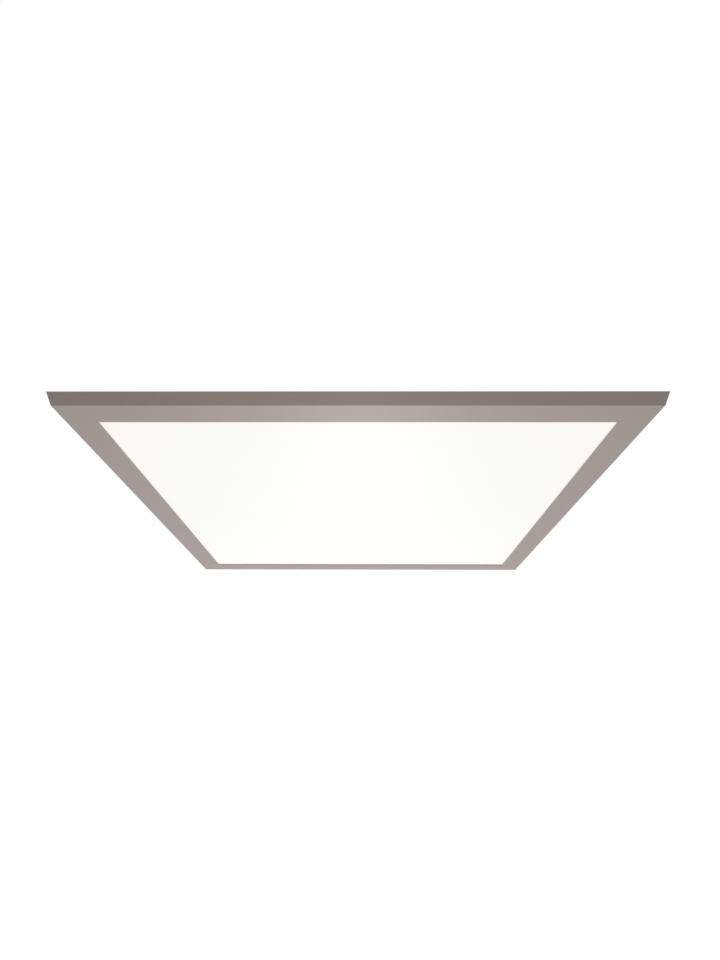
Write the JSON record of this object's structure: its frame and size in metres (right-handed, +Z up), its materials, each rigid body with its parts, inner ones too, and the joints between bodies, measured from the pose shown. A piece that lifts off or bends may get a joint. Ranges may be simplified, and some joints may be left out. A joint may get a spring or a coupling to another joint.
{
  "type": "flush mount ceiling light",
  "caption": "Square edge-lit ceiling light: a framed opal panel hooked on a low steel ceiling bracket, swinging down on hinge pins and held shut by snap catches.",
  "frame": {"origin": "on the ceiling plane, at the middle of the four ceiling screw slots and of the cable entry", "axes": "+Z up into the ceiling, the room below; +Y towards the hinge pins; +X to the right when seen from the room with the catches nearest"},
  "size_m": [0.6, 0.6, 0.048],
  "materials": {
    "frame_paint": "satin warm grey powder coat",
    "opal": "opal diffuser",
    "clear_acrylic": "polished clear acrylic",
    "white_film": "matt white film",
    "foam": "closed-cell foam",
    "cover_paint": "white powder-coated steel",
    "zinc_sheet": "zinc-coated steel sheet",
    "bright_steel": "bright zinc-plated steel",
    "spring_steel": "spring steel",
    "strip_board": "white solder mask",
    "chip": "yellow phosphor",
    "driver_plastic": "textured white plastic",
    "circuit_board": "green solder mask",
    "ferrite": "ferrite core with taped winding",
    "film_case": "moulded case of a film capacitor",
    "terminal_plastic": "natural nylon",
    "brass_metal": "machined brass",
    "black_rubber": "black rubber"
  },
  "bodies": {
    "ceiling_mount": {"ceiling_rail_left": "zinc_sheet", "ceiling_rail_right": "zinc_sheet", "hinge_pin_left": "bright_steel", "hinge_pin_right": "bright_steel", "catch_clip_left": "spring_steel", "catch_clip_right": "spring_steel", "cross_tray": "zinc_sheet", "cable_grommet": "black_rubber", "terminal_block": "terminal_plastic", "terminal_clamps": "brass_metal", "terminal_screws": "bright_steel", "earth_screw": "bright_steel", "earth_plate": "brass_metal"},
    "light_panel": {"frame_front": "frame_paint", "frame_right": "frame_paint", "frame_rear": "frame_paint", "frame_left": "frame_paint", "corner_key_front_left": "zinc_sheet", "corner_key_front_right": "zinc_sheet", "corner_key_rear_right": "zinc_sheet", "corner_key_rear_left": "zinc_sheet", "diffuser": "opal", "light_guide": "clear_acrylic", "reflector_sheet": "white_film", "foam_board": "foam", "light_strip_board_left": "strip_board", "light_strip_board_right": "strip_board", "light_chips_left": "chip", "light_chips_right": "chip", "back_cover": "cover_paint", "cover_screws": "bright_steel", "hook_screws": "bright_steel", "stud_nuts": "bright_steel", "hook_left": "zinc_sheet", "hook_right": "zinc_sheet", "strike_left": "zinc_sheet", "strike_right": "zinc_sheet", "driver_terminals": "terminal_plastic", "lead_grommet": "black_rubber", "driver_base": "driver_plastic", "driver_cover": "driver_plastic", "driver_board": "circuit_board", "driver_transformer": "ferrite", "driver_choke": "ferrite", "driver_capacitors": "film_case"}
  },
  "joints": [
    {"name": "panel_swing", "type": "hinge", "parent": "ceiling_mount", "child": "light_panel", "pos_m": [0, 0.284, -0.021], "axis": [1, 0, 0], "range_deg": [0, 90], "deforming": ["catch_clip_left", "catch_clip_right"]}
  ]
}
